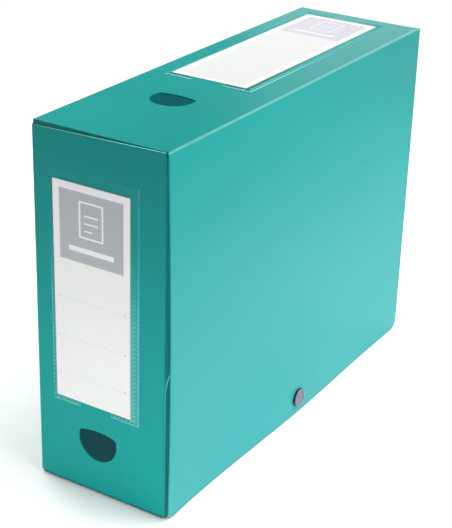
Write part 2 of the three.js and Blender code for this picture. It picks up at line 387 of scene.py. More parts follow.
@dataclass(frozen=True)
class WeldFinish:
    """Pressed weld strip: light ridges with a row of dark pits, fainter where the film is less crushed, and
    a painted shadow of the card's edge.
    """

    light: Colour = (0.15, 0.60, 0.57)
    middle: Colour = (0.002, 0.46, 0.43)
    faint: Colour = (0.05, 0.98, 0.92)
    # dark colours the pits and the painted shadow of the card's edge.
    dark: Colour = (0.004, 0.09, 0.09)
    line_cover: float = 0.85
    pit_cover: float = 0.9
    roughness: float = 0.35
    line_roughness: float = 0.2
    specular: float = 0.12

    def material(self, name: str) -> bpy.types.Material:
        """Builds the weld's material from the strip's own marks: pit, which also carries the painted shadow
        of the card's edge, line and strength.

        A line covers in proportion to the strength, and a pit in proportion to its square.

        Args:
            name: the material's name.

        Returns:
            The material.
        """
        graph = Graph(name)
        marks = graph.node("ShaderNodeAttribute", {"attribute_name": "marks"})
        pit, line, strength = graph.split(marks.outputs["Vector"])
        tone = graph.blend(strength, self.faint, graph.blend(line, self.middle, self.light))
        # The pits and the painted card-edge shadow darken the weld with the square of the strength.
        pits_and_painted_shadow = pit * strength * strength
        colour = graph.blend(pits_and_painted_shadow, tone, self.dark)
        return graph.surface(
            Base_Color=colour,
            Alpha=strength * (self.line_cover * line).either(self.pit_cover * pits_and_painted_shadow),
            Roughness=self.roughness + self.line_roughness * line,
            IOR=PLASTIC_IOR,
            Specular_IOR_Level=self.specular,
        )


@dataclass(frozen=True)
class CardFinish:
    """White card with a grey block that holds a plain sheet sign, and three faint ruled lines."""

    paper: Colour = (0.82, 0.83, 0.81)
    margin: Colour = (0.87, 0.83, 0.84)
    block: Colour = (0.43, 0.45, 0.475)
    sign: Colour = (0.84, 0.85, 0.86)
    rule: Colour = (0.50, 0.49, 0.50)
    roughness: float = 0.5
    fibre_scale: float = 420.0
    fibre_lift: float = 1.03
    fibre_gloss: float = 0.2
    fibre_relief: float = 0.15
    fibre_depth: float = 0.02 * MM


@dataclass(frozen=True)
class CardLayout:
    """Places of a card's print: the block from the card's left edge and far end, the rest from the block."""

    block_left: float = 4.9 * MM
    block_right: float = 53.2 * MM
    block_top: float = 4.8 * MM
    block_foot: float = 51.5 * MM
    near_margin: float = 4 * MM
    sign_up: float = 29 * MM
    sign_wide: float = 9.2 * MM
    sign_high: float = 12.2 * MM
    sign_line: float = 1.2 * MM
    text_wide: float = 5.2 * MM
    text_thick: float = 0.5 * MM
    text_rise: float = 0.5 * MM
    text_gap: float = 2.5 * MM
    last_drop: float = 7 * MM
    last_end: float = 1.0 * MM
    bar_up: float = 8.6 * MM
    bar_wide: float = 17 * MM
    bar_high: float = 1.7 * MM
    rule_drops: tuple[float, ...] = (27.0 * MM, 54.2 * MM, 80.9 * MM)
    rule_out_left: float = 1.5 * MM
    rule_out_right: float = 1.0 * MM
    rule_thick: float = 0.22 * MM
    rule_blur: float = 0.2 * MM
    rule_fade: float = 0.55
    dot_radius: float = 0.6 * MM
    blur: float = 0.25 * MM


@dataclass(frozen=True)
class StudFinish:
    """Satin metal of the press stud: a lighter face, and a near-black body that paints the shade on the
    cap's side.
    """

    face: Colour
    # body is near-black, painted shade on the cap's side.
    body: Colour = (0.012, 0.013, 0.016)
    roughness: float = 0.34
    metallic: float = 0.5
    scuff_scale: float = 900.0
    scuff_lift: float = 1.3
    scuff_edge: float = 0.58
    scuff_blur: float = 0.3
    scuff_gloss: float = 0.25
    scuff_relief: float = 0.2
    scuff_depth: float = 0.03 * MM
    face_blur: float = 0.15 * MM

    def material(self, name: str, face_at: float) -> bpy.types.Material:
        """Builds the stud's material with faint scuffs.

        Args:
            name: the material's name.
            face_at: the x in metres past which the part has its face colour.

        Returns:
            The material.
        """
        graph = Graph(name)
        scuff = graph.noise(self.scuff_scale, 4.0, 0.6)
        lighter = tuple(min(1.0, channel * self.scuff_lift) for channel in self.face)
        worn = graph.blend(scuff.above(self.scuff_edge, self.scuff_blur), self.face, lighter)
        # Short of face_at the body colour paints the shade on the cap's side.
        return graph.surface(
            Base_Color=graph.blend(graph.place()[0].above(face_at, self.face_blur), self.body, worn),
            Roughness=self.roughness + (scuff - 0.5) * self.scuff_gloss,
            Metallic=self.metallic,
            Normal=graph.relief(scuff, self.scuff_relief, self.scuff_depth),
        )


# Mesh making


def new_piece(
    name: str, vertices: np.ndarray, faces: list | np.ndarray, smooth: bool = True
) -> bpy.types.Object:
    """Puts vertices and faces into a new object at the origin.

    Args:
        name: the piece's name.
        vertices: an array of n by 3 places.
        faces: rows of vertex indices.
        smooth: whether the faces are shaded smooth.

    Returns:
        The linked object.
    """
    mesh = bpy.data.meshes.new(name)
    mesh.from_pydata(np.asarray(vertices, float).tolist(), [], [list(map(int, face)) for face in faces])
    mesh.polygons.foreach_set("use_smooth", np.full(len(mesh.polygons), smooth))
    mesh.update()
    made = bpy.data.objects.new(name, mesh)
    bpy.context.scene.collection.objects.link(made)
    return made


def grid_faces(rows: int, columns: int, start: int = 0, flip: bool = False) -> np.ndarray:
    """Quads of a grid whose points run row by row: each joins a point to its next row and column.

    Args:
        rows: rows of points.
        columns: points in a row.
        start: the first point's index.
        flip: whether the quads face the other way.

    Returns:
        The quads, four indices each.
    """
    index = np.arange(rows * columns).reshape(rows, columns) + start
    quads = np.stack([index[:-1, :-1], index[1:, :-1], index[1:, 1:], index[:-1, 1:]], -1).reshape(-1, 4)
    return quads[:, ::-1] if flip else quads


def rim_faces(rows: int, columns: int, offset: int, flip: bool = False) -> np.ndarray:
    """Quads round a grid's border that join it to its twin.

    Args:
        rows: rows of points.
        columns: points in a row.
        offset: how much larger the twin's indices are.
        flip: whether the quads face the other way.

    Returns:
        The quads, four indices each.
    """
    index = np.arange(rows * columns).reshape(rows, columns)
    border = np.concatenate([index[0, :-1], index[:-1, -1], index[-1, :0:-1], index[:0:-1, 0]])
    after = np.roll(border, -1)
    quads = np.stack([border, after, after + offset, border + offset], -1)
    return quads[:, ::-1] if flip else quads


def slab(name: str, outer: np.ndarray, inner: np.ndarray, smooth: bool = True) -> bpy.types.Object:
    """A closed sheet between two matched grids of points, joined by a rim, with its faces pointing out.

    Args:
        name: the piece's name.
        outer: rows by columns by 3 places of the outer face.
        inner: the same grid for the inner face.
        smooth: whether the faces are shaded smooth.

    Returns:
        The linked object.
    """
    rows, columns = outer.shape[:2]
    count = rows * columns
    middle = rows // 2, columns // 2
    along = outer[middle[0], middle[1] - 1] - outer[middle[0], middle[1]]
    down = outer[middle[0] - 1, middle[1]] - outer[middle[0], middle[1]]
    outward = np.dot(np.cross(down, along), outer[middle] - inner[middle]) > 0
    faces = np.concatenate([
        grid_faces(rows, columns, 0, flip=not outward),
        grid_faces(rows, columns, count, flip=outward),
        rim_faces(rows, columns, count, flip=outward),
    ])
    vertices = np.concatenate([outer.reshape(-1, 3), inner.reshape(-1, 3)])
    made = new_piece(name, vertices, faces, smooth)
    sharpen(made)
    return made


def note_points(piece: bpy.types.Object, name: str, values: np.ndarray) -> None:
    """Keeps one number or three for each point of a piece, for its material to read.

    Args:
        piece: the piece.
        name: the attribute's name.
        values: one row for each point.
    """
    kind, key = ("FLOAT", "value") if values.ndim == 1 else ("FLOAT_VECTOR", "vector")
    attribute = piece.data.attributes.new(name, kind, "POINT")
    attribute.data.foreach_set(key, values.ravel().astype(np.float32))


def sharpen(piece: bpy.types.Object, degrees: float = 40.0) -> None:
    """Keeps edges sharper than the angle given from being shaded smooth."""
    piece.data.set_sharp_from_angle(angle=math.radians(degrees))


def turned(name: str, profile: np.ndarray, centre: tuple[float, float], steps: int = 96) -> bpy.types.Object:
    """A body turned about a line along X.

    The profile's points (radius, x) are carried round the line: y = r cos a and z = r sin a.

    Args:
        name: the piece's name.
        profile: points from axis to axis, in metres.
        centre: y and z of the line.
        steps: points round the circle.

    Returns:
        The linked object.
    """
    angle = np.linspace(0, 2 * math.pi, steps, endpoint=False)
    radius, x = profile[1:-1, 0], profile[1:-1, 1]
    ring = np.stack([
        np.repeat(x[:, None], steps, 1),
        centre[0] + radius[:, None] * np.cos(angle),
        centre[1] + radius[:, None] * np.sin(angle),
    ], -1)
    rows = len(radius)
    index = np.arange(rows * steps).reshape(rows, steps)
    after = np.roll(index, -1, 1)
    quads = np.stack([index[:-1], after[:-1], after[1:], index[1:]], -1).reshape(-1, 4)
    poles = np.array([[profile[0, 1], *centre], [profile[-1, 1], *centre]])
    first, last = rows * steps, rows * steps + 1
    caps = [(first, b, a) for a, b in zip(index[0], after[0])]
    caps += [(last, a, b) for a, b in zip(index[-1], after[-1])]
    made = new_piece(name, np.concatenate([ring.reshape(-1, 3), poles]), [*quads, *caps])
    sharpen(made, 32.0)
    return made


def arc(radius: float, centre: tuple[float, float], start: float, end: float, steps: int) -> np.ndarray:
    """Points on a circle's arc, from one angle to another in degrees."""
    angle = np.radians(np.linspace(start, end, steps))
    return np.stack([centre[0] + radius * np.cos(angle), centre[1] + radius * np.sin(angle)], -1)


def dress(piece: bpy.types.Object, material: bpy.types.Material) -> bpy.types.Object:
    """Gives a piece one material.

    Args:
        piece: the piece or frame node.
        material: its new material.

    Returns:
        The same piece.
    """
    piece.data.materials.clear()
    piece.data.materials.append(material)
    return piece


# Sub-assemblies


@dataclass
class BoxSheet:
    """The folded sheet: walls, base, tucked ears and return flaps, which keep the frame's own solid.

    Each mask is a product of soft steps in x, y and z, measured from the solid's own corners.
    """

    finish: SheetFinish = field(default_factory=SheetFinish)
    sheet: float = SHEET
    skin: float = 1.05 * SHEET
    sharp: float = 0.1 * MM
    up_facing: float = 0.6
    side_facing: float = 0.5
    facing_blur: float = 0.1
    # The flap values and head_band place the painted highlights on the flap's corner and the end walls'
    # heads.
    flap_height: float = 110 * MM
    flap_shown: float = 0.88
    flap_fade: float = 0.16
    flap_highlight: float = 0.8
    head_band: float = 5 * MM
    base_inset: float = 2 * MM
    ear_zone: float = 4 * MM
    ear_bend: float = 10 * MM
    bend_shade: float = 0.5
    foot_line: float = 2.4 * MM
    foot_shade: float = 0.7
    painted_shade_edge: float = 0.62
    painted_shade_blur: float = 0.75
    painted_shade_lean: float = 0.25
    painted_shade_skin: float = 2 * MM
    painted_glow_behind_lid: float = 0.8

    def painted_edge_highlights(self, graph: Graph) -> Signal:
        """Mask of the painted highlights: on the upward faces of the end walls' trimmed heads, and on the
        sideways faces of the bottom flap's rounded corners.

        Args:
            graph: the material's graph.

        Returns:
            The mask.
        """
        low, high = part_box("box_shell")
        x, y, z = graph.place()
        facing_x, _, facing_z = graph.facing()
        upward = facing_z.above(self.up_facing, self.facing_blur)
        sideways = abs(facing_x).below(self.side_facing, self.facing_blur)
        # Painted highlights: upward faces at the end walls' heads, and sideways faces at the top of the
        # flap's corner.
        head = abs(y).above(high.y - self.skin, self.sharp) * z.above(high.z - self.head_band, self.sharp)
        highlight_on_heads = head * x.above(low.x + self.base_inset, self.sharp) * upward
        flap_zone = x.above(high.x - self.skin, self.sharp)
        shown = z.above(self.flap_shown * self.flap_height, self.flap_fade * self.flap_height)
        highlight_on_flap = flap_zone * shown * sideways
        return highlight_on_heads.either(self.flap_highlight * highlight_on_flap)

    def painted_shade(self, graph: Graph) -> Signal:
        """Mask of the painted shade that darkens the end walls' upper part.

        Args:
            graph: the material's graph.

        Returns:
            The mask.
        """
        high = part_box("box_shell")[1]
        x, y, z = graph.place()
        # Painted shade, rising over the upper part of the end walls and leaning with x.
        upper = (z - self.painted_shade_lean * x).above(self.painted_shade_edge * high.z, self.painted_shade_blur * high.z)
        return upper * abs(y).above(high.y - self.painted_shade_skin, MM)

    def painted_shade_at_folds(self, graph: Graph) -> Signal:
        """Mask of the painted shade at the bends: the line under the end walls, and the ears' bends over
        their heads.

        Args:
            graph: the material's graph.

        Returns:
            The mask.
        """
        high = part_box("box_shell")[1]
        _, y, z = graph.place()
        # Painted shade under the end walls' feet and over the ears' bends behind their heads.
        under = z.below(self.foot_line, 0.4 * MM) * abs(y).above(high.y - self.ear_zone, MM)
        behind_head = abs(y).within(high.y - self.ear_zone, high.y - 1.06 * self.sheet, self.sharp)
        bend = behind_head * z.within(high.z - self.ear_bend, high.z - 0.3 * MM, 0.2 * MM)
        return (self.foot_shade * under).either(self.bend_shade * bend)

    def inside(self, graph: Graph) -> Signal:
        """Mask of the painted glow: emission on the faces that look into the box, and more faintly on those
        that lie behind the lid.

        The inner room's limits lie just short of one sheet, or of two where an ear or flap doubles it.

        Args:
            graph: the material's graph.

        Returns:
            The mask.
        """
        low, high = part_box("box_shell")
        x, y, z = graph.place()
        in_x = x.within(low.x + 0.9 * self.sheet, high.x - 2.4 * self.sheet, self.sharp)
        in_y = abs(y).below(high.y - 1.9 * self.sheet, self.sharp)
        in_z = z.within(0.9 * self.sheet, high.z - 1.2 * self.sheet, self.sharp)
        on_flaps = x.above(high.x - 1.6 * self.sheet, 4 * self.sharp)
        # The flaps' faces behind the lid get a weaker painted glow.
        behind_lid = on_flaps * z.within(4 * MM, high.z - 3 * MM, 2 * MM)
        return (in_x * in_y * in_z).either(self.painted_glow_behind_lid * behind_lid)

    def build(self) -> list[bpy.types.Object]:
        """Dresses the shell.

        Returns:
            The dressed frame node.
        """
        shell = bpy.data.objects["box_shell"]
        masks = {"painted_shade": self.painted_shade, "painted_fold_shade": self.painted_shade_at_folds, "inside": self.inside}
        return [dress(shell, self.finish.material("box_sheet_green", self.painted_edge_highlights, **masks))]


@dataclass
class LidPanel:
    """The large flexible lid, bowed away from the box, and the crease that it hangs from, with a painted
    highlight along the crease.
    """

    # The lid's shade colour is its painted rim shade.
    finish: SheetFinish = SheetFinish(
        colour=(0.002, 0.306, 0.285), deep=(0.002, 0.293, 0.273), shade=(0.02, 0.14, 0.14), specular=0.10
    )
    # The crease's edge colour is the painted highlight along it.
    crease_finish: SheetFinish = SheetFinish(edge=(0.90, 1.0, 0.96))
    sheet: float = SHEET
    hinge_x: float = 51.1 * MM
    box_depth: float = BOX_DEPTH
    box_height: float = BOX_HEIGHT
    foot_gap: float = 0.8 * MM
    head_gap: float = 0.1 * MM
    corner: float = 7 * MM
    front_bow: float = 3.2 * MM
    front_reach: float = 26 * MM
    front_spread: float = 0.5
    bow_turn: float = 0.75 * math.pi
    stud_bow: float = 2.4 * MM
    stud_height: float = 13.5 * MM
    stud_bow_length: float = 55 * MM
    stud_bow_height: float = 45 * MM
    rows: int = 120
    columns: int = 160
    crowding: float = 1.8
    crease_radius: float = 1.0 * MM
    crease_skin: float = 0.25 * MM
    crease_lift: float = 0.06 * MM
    crease_down: float = 0.35 * MM
    crease_back: float = 0.6 * MM
    crease_short: float = 0.3 * MM
    crease_reach: float = 1.2 * MM
    crease_middle: float = 50.0
    crease_spread: float = 20.0
    crease_steps: int = 60
    bend_steps: int = 13
    # rim_line and rim_shade place painted shade along the lid's foot and back edge.
    rim_line: float = 0.7 * MM
    rim_shade: float = 0.8
    # head_line and head_light place a faint painted highlight along the lid's head.
    head_line: float = 0.6 * MM
    head_light: float = 0.15
    # pale_below, pale_blur and pale_lean place the painted sheen on the lid's lower front.
    pale_below: float = 155 * MM
    pale_blur: float = 170 * MM
    pale_lean: float = 0.12
    # deep_above, deep_blur and deep_lean place the painted shade in the lid's upper back corner.
    deep_above: float = 275 * MM
    deep_blur: float = 110 * MM
    deep_lean: float = 0.5

    def bow(self, y: np.ndarray, z: np.ndarray) -> np.ndarray:
        """How far the sheet stands away from the box.

        Along the front edge it is a sine of the drop below the crease that dies away
        exponentially with the distance from that edge; round the stud it is a bell.

        Args:
            y: depths.
            z: heights, the same in number.

        Returns:
            The distances.
        """
        drop = np.clip((self.box_height - z) / self.box_height, 0, 1)
        reach = self.front_reach + self.front_spread * z
        front = self.front_bow * np.sin(self.bow_turn * drop) * np.exp(-(y + self.box_depth / 2) / reach)
        up = (z - self.stud_height) / self.stud_bow_height
        return front + self.stud_bow * np.exp(-((y / self.stud_bow_length) ** 2 + up**2) / 2)

    def panel(self) -> bpy.types.Object:
        """The lid's sheet: a grid in depth and height, drawn in at the two rounded bottom corners.

        The rows crowd towards the foot as a power of their share of the height, and a row at
        height h in a corner of radius r is shorter at each end by r less the root of r^2 - (r - h)^2.

        Returns:
            The panel.
        """
        top = self.box_height - self.head_gap
        share = np.linspace(0, 1, self.rows)[:, None] ** self.crowding
        from_foot = share * (top - self.foot_gap)
        into_corner = np.maximum(self.corner - from_foot, 0)
        inset = self.corner - np.sqrt(self.corner**2 - into_corner**2)
        across = np.linspace(-1, 1, self.columns)[None, :]
        y = across * (self.box_depth / 2 - inset)
        z = np.broadcast_to(self.foot_gap + from_foot, y.shape)
        x = self.hinge_x + self.bow(y, z)
        outer = np.stack([x, y, z], -1)
        inner = outer - np.array([self.sheet, 0, 0])
        return slab("lid_panel", outer, inner)

    def crease(self) -> bpy.types.Object:
        """The pressed hinge line: a quarter round skin carried along the box's top edge.

        Its painted highlight is a bell of the angle round the bend.

        Returns:
            The crease.
        """
        centre = (self.hinge_x - self.crease_radius, self.box_height - self.crease_radius)
        bend = arc(self.crease_radius, centre, 0, 90, self.bend_steps)
        start = np.array([[self.hinge_x, centre[1] - self.crease_down]])
        end = np.array([[centre[0] - self.crease_back, self.box_height]])
        line = np.concatenate([start, bend, end])
        away = line - np.array(centre)
        away[0], away[-1] = (1, 0), (0, 1)
        away /= np.linalg.norm(away, axis=1)[:, None]
        half = self.box_depth / 2 - self.crease_short
        y = np.linspace(-half, half, self.crease_steps)

        def carried(lift: float) -> np.ndarray:
            """The profile's points, lifted off the bend, repeated at every y.

            Args:
                lift: how far off the bend's own line.

            Returns:
                The grid of points.
            """
            profile = (line + lift * away)[:, None, :]
            x, depth, z = np.broadcast_arrays(profile[..., 0], y[None, :], profile[..., 1])
            return np.stack([x, depth, z], -1)

        made = slab("lid_crease", carried(self.crease_lift), carried(self.crease_lift - self.crease_skin))
        turn = np.degrees(np.arctan2(away[:, 1], away[:, 0]))
        pale = np.exp(-(((turn - self.crease_middle) / self.crease_spread) ** 2))
        note_points(made, "pale", np.tile(np.repeat(pale, len(y)), 2))
        return made

    def painted_crease_highlight(self, graph: Graph) -> Signal:
        """Mask of the painted highlight along the crease's middle, kept on its points."""
        node = graph.node("ShaderNodeAttribute", {"attribute_name": "pale"})
        return Signal(graph, node.outputs["Fac"])

    def painted_head_highlight(self, graph: Graph) -> Signal:
        """Mask of a faint painted highlight along the lid's head, next to its crease."""
        return graph.place()[2].above(self.box_height - self.head_line, self.head_line) * self.head_light

    def painted_lower_sheen(self, graph: Graph) -> Signal:
        """Mask of the painted sheen that lightens the lid's lower part, where it bows out."""
        _, y, z = graph.place()
        return (z + self.pale_lean * y).below(self.pale_below, self.pale_blur)

    def painted_corner_shade(self, graph: Graph) -> Signal:
        """Mask of the painted shade that darkens the lid's upper back corner."""
        _, y, z = graph.place()
        return (z + self.deep_lean * y).above(self.deep_above, self.deep_blur)

    def rim(self, graph: Graph) -> Signal:
        """Mask of the painted shade along the lid's foot and back edge.

        Args:
            graph: the material's graph.

        Returns:
            The mask.
        """
        _, y, z = graph.place()
        foot = z.below(self.foot_gap + self.rim_line, 0.5 * self.rim_line)
        back = y.above(self.box_depth / 2 - self.rim_line, 0.5 * self.rim_line)
        return self.rim_shade * foot.either(back)

    def build(self) -> list[bpy.types.Object]:
        """Builds the panel and its crease, and hangs the panel on the lid.

        Returns:
            The two pieces.
        """
        panel = self.panel()
        masks = {"painted_shade": self.painted_corner_shade, "painted_fold_shade": self.rim, "painted_lower_sheen": self.painted_lower_sheen}
        dress(panel, self.finish.material("lid_sheet_green", self.painted_head_highlight, **masks))
        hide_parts("lid")
        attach(panel, "lid")
        crease = self.crease()
        dress(crease, self.crease_finish.material("crease_painted_highlight", self.painted_crease_highlight))
        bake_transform(crease)
        return [panel, crease]


class Wall(Enum):
    """The wall that a label pocket is welded to."""

    FRONT = "front"
    TOP = "top"

    def lay(self, u: np.ndarray, v: np.ndarray, rise: np.ndarray, depth: float, height: float) -> np.ndarray:
        """Places on the wall.

        Args:
            u: how far along +X.
            v: how far up the front wall, or back along the top wall.
            rise: how far away from the face.
            depth: the box's depth.
            height: the box's height.

        Returns:
            The places, in the arrays' own shape.
        """
        if self is Wall.FRONT:
            return np.stack([u, -depth / 2 - rise, v], -1)
        return np.stack([u, v, height + rise], -1)


@dataclass(frozen=True)
class Fading:
    """Strength of the welds along a pocket: full up to a point, then falling in a straight line."""

    start: float
    length: float
    loss: float

    def at(self, v: np.ndarray) -> np.ndarray:
        """The strength, 1 less the loss times the share of the fading length that is passed."""
        return 1.0 - self.loss * np.clip((v - self.start) / self.length, 0, 1)


@dataclass
class LabelPocket:
    """A clear pocket on knurled welds, and the printed card in it."""

    wall: Wall
    left: float
    low: float
    length: float
    weld_strength: Fading
    card_finish: CardFinish = CardFinish()
    weld_finish: WeldFinish = WeldFinish()
    layout: CardLayout = CardLayout()
    width: float = 67.6 * MM
    near_weld: float = 2.4 * MM
    far_weld: float = 6.4 * MM
    end_weld: float = 3.3 * MM
    end_arm: float = 21.5 * MM
    arm_gap: float = 0.3 * MM
    rise: float = 0.75 * MM
    film: float = 0.2 * MM
    film_drop: float = 0.22 * MM
    film_inset: float = 0.05 * MM
    film_share: float = 0.8
    film_columns: int = 48
    film_rows: int = 110
    ripple: float = 0.06 * MM
    ripple_long: float = 71 * MM
    ripple_lean: float = 9.0
    ripple_steep: float = 3.0
    weld_step: float = 0.25 * MM
    weld_floor: float = 0.02 * MM
    line_lift: float = 0.04 * MM
    pit_sink: float = 0.16 * MM
    edge_blur: float = 0.3 * MM
    pitch: float = 3.0 * MM
    pit_line: float = 2.1 * MM
    near_pit_line: float = 1.6 * MM
    pit_wide: float = 0.65 * MM
    pit_long: float = 0.7 * MM
    pit_from: float = 0.3
    pit_full: float = 0.7
    pit_depth: float = 0.8
    line_wide: float = 0.32 * MM
    border_share: float = 0.3
    border_slope: float = 1.1 * MM
    hatch: float = 0.95
    hatch_from: float = 0.4 * MM
    hatch_mean: float = 0.86
    hatch_swing: float = 0.10
    hatch_lean: float = 0.7
    second_line: float = 0.0
    second_at: float = 2.6 * MM
    # shade paints the card edge's shadow along the weld's inner side.
    shade: float = 0.0
    shade_wide: float = 1.4 * MM
    box_depth: float = BOX_DEPTH
    box_height: float = BOX_HEIGHT

    def inward(self, u: np.ndarray, v: np.ndarray) -> tuple[np.ndarray, np.ndarray]:
        """Distance from the pocket's nearest side edge, and from its nearest end edge.

        Args:
            u: places across the wall.
            v: places along it.

        Returns:
            The two distances.
        """
        from_side = np.minimum(u - self.left, self.left + self.width - u)
        from_end = np.minimum(v - self.low, self.low + self.length - v)
        return from_side, from_end

    def pressed(self, inward: np.ndarray) -> np.ndarray:
        """Share of the full height, which falls in a straight line to the flat pressed border."""
        return self.border_share + (1 - self.border_share) * np.clip(inward / self.border_slope, 0, 1)

    def sheet_of_film(self) -> bpy.types.Object:
        """The film: a flat slab with ripples, pressed down at its border.

        The ripple is a sine along v whose phase leans with u, and it dies away at the border.

        Returns:
            The film.
        """
        inset = self.film_inset
        u = np.linspace(self.left + inset, self.left + self.width - inset, self.film_columns)[:, None]
        v = np.linspace(self.low + inset, self.low + self.length - inset, self.film_rows)[None, :]
        u, v = np.broadcast_arrays(u, v)
        across, along = (u - self.left) / self.width, (v - self.low) / self.length
        free = np.clip(self.ripple_steep * np.sin(np.pi * across) * np.sin(np.pi * along), 0, 1)
        phase = v * 2 * np.pi / self.ripple_long + self.ripple_lean * u / self.width
        ripple = self.ripple * np.sin(phase) * free
        top = (self.rise - self.film_drop + ripple) * self.pressed(np.minimum(*self.inward(u, v)))
        outer = self.wall.lay(u, v, top, self.box_depth, self.box_height)
        under = top - np.minimum(self.film, self.film_share * top)
        inner = self.wall.lay(u, v, under, self.box_depth, self.box_height)
        return slab(f"{self.wall.value}_pocket_film", outer, inner)

    def weld(self, name: str, low: tuple[float, float], high: tuple[float, float]) -> bpy.types.Object:
        """One weld strip: a slab pressed with pits along a line inside the pocket's border.

        The surface sinks by a bell of the distance from the pit line times a bell of the
        distance from the nearest pitch mark. Lines are bells of the distance from the border,
        and the hatch is a cosine that leans with that distance.

        Args:
            name: the strip's name.
            low: its lower left corner in u and v.
            high: its upper right corner.

        Returns:
            The strip, whose points keep their pit, line and strength.
        """
        step = self.weld_step
        u = np.arange(low[0], high[0] + step / 2, step)[:, None]
        v = np.arange(low[1], high[1] + step / 2, step)[None, :]
        u, v = np.broadcast_arrays(u, v)
        from_side, from_end = self.inward(u, v)
        inward = np.minimum(from_side, from_end)
        on_side = from_side < from_end
        along = np.where(on_side, v, u)
        strength = np.broadcast_to(self.weld_strength.at(v), u.shape)

        beat = np.abs((along / self.pitch) % 1.0 - 0.5) * self.pitch
        on_left = on_side & (u < self.left + self.width / 2)
        pit_line = np.where(on_left, self.near_pit_line, self.pit_line)
        bell = np.exp(-((inward - pit_line) / self.pit_wide) ** 2 - (beat / self.pit_long) ** 2)
        pit = np.clip((bell - self.pit_from) / (self.pit_full - self.pit_from), 0, 1)

        border = np.exp(-(((inward - self.line_wide) / self.line_wide) ** 2))
        second = self.second_line * np.exp(-(((inward - self.second_at) / self.line_wide) ** 2))
        wave = np.cos(2 * np.pi * (along + self.hatch_lean * inward) / self.pitch)
        inside = np.clip((inward - self.hatch_from) / self.edge_blur, 0, 1)
        hatch = self.hatch * strength * (self.hatch_mean + self.hatch_swing * wave) * inside
        from_tip = np.minimum(np.abs(u - low[0]), np.abs(u - high[0]))
        tip = np.where(on_side, 0, np.exp(-((from_tip / self.line_wide) ** 2)))
        line = np.clip(np.maximum(border, tip) + second + hatch, 0, 1)

        # Painted shadow of the card's edge along the inner side of the strips, carried with the pits.
        shade_from = np.where(on_side, self.far_weld, self.end_weld) - self.shade_wide
        shade = self.shade * np.clip((inward - shade_from) / self.edge_blur, 0, 1)

        top = (self.rise + self.line_lift * line) * self.pressed(inward) - self.pit_sink * pit
        outer = self.wall.lay(u, v, top, self.box_depth, self.box_height)
        floor = np.full_like(top, self.weld_floor)
        made = slab(name, outer, self.wall.lay(u, v, floor, self.box_depth, self.box_height))
        dark = np.maximum(pit * self.pit_depth, shade)
        marks = np.stack([dark, line * (1 - shade), strength], -1).reshape(-1, 3)
        unseen_inside = marks * (1, 1, 0)
        note_points(made, "marks", np.concatenate([marks, unseen_inside]))
        return made

    def welds(self) -> list[bpy.types.Object]:
        """The two long strips and the four arms that turn the corners.

        Returns:
            The six strips.
        """
        name = self.wall.value
        right, top = self.left + self.width, self.low + self.length
        made = [
            self.weld(f"{name}_weld_left", (self.left, self.low), (self.left + self.near_weld, top)),
            self.weld(f"{name}_weld_right", (right - self.far_weld, self.low), (right, top)),
        ]
        inner_left = self.left + self.near_weld + self.arm_gap
        inner_right = right - self.far_weld - self.arm_gap
        for place, low in (("low", self.low), ("high", top - self.end_weld)):
            high = low + self.end_weld
            left_tip, right_tip = self.left + self.end_arm, right - self.end_arm
            made.append(self.weld(f"{name}_weld_left_{place}", (inner_left, low), (left_tip, high)))
            made.append(self.weld(f"{name}_weld_right_{place}", (right_tip, low), (inner_right, high)))
        return made

    def sheet_sign(self, u: Signal, v: Signal) -> Signal:
        """Mask of the plain sheet sign, its three lines of text and the bar under it.

        Each form is a rectangle, and the sign's outline is one less a smaller one.

        Args:
            u: how far right of the block's middle.
            v: how far above the block's foot.

        Returns:
            The mask.
        """
        lay = self.layout
        off, up = abs(u), v - lay.sign_up
        outer = off.below(lay.sign_wide, lay.blur) * abs(up).below(lay.sign_high, lay.blur)
        wide, high = lay.sign_wide - lay.sign_line, lay.sign_high - lay.sign_line
        inner = off.below(wide, lay.blur) * abs(up).below(high, lay.blur)
        in_pair = abs(abs(up - lay.text_rise) - lay.text_gap).below(lay.text_thick, lay.blur)
        pair = in_pair * off.below(lay.text_wide, lay.blur)
        in_last = abs(up + lay.last_drop).below(lay.text_thick, lay.blur)
        last = in_last * u.within(-lay.text_wide, lay.last_end, lay.blur)
        bar = abs(v - lay.bar_up).below(lay.bar_high, lay.blur) * off.below(lay.bar_wide, lay.blur)
        return (outer * (1 - inner)).either(pair).either(last).either(bar)

    def ruled_lines(self, x: Signal, v: Signal, start: float, end: float) -> Signal:
        """Mask of the ruled lines and the dots at their ends.

        A dot is a disc, and what lies under each dot's layer fades, so the right dots are darkest.

        Args:
            x: places across the card.
            v: how far above the block's foot.
            start: x of the lines' left ends.
            end: x of their right ends.

        Returns:
            The mask.
        """
        lay = self.layout
        rules = []
        for drop in lay.rule_drops:
            up = v + drop
            rule = abs(up).below(lay.rule_thick, lay.rule_blur) * x.within(start, end, lay.blur)
            for dot in (start, end):
                away = x.graph.math("SQRT", (x - dot) * (x - dot) + up * up)
                rule = (rule * lay.rule_fade).either(away.below(lay.dot_radius, lay.blur))
            rules.append(rule)
        return reduce(Signal.either, rules)

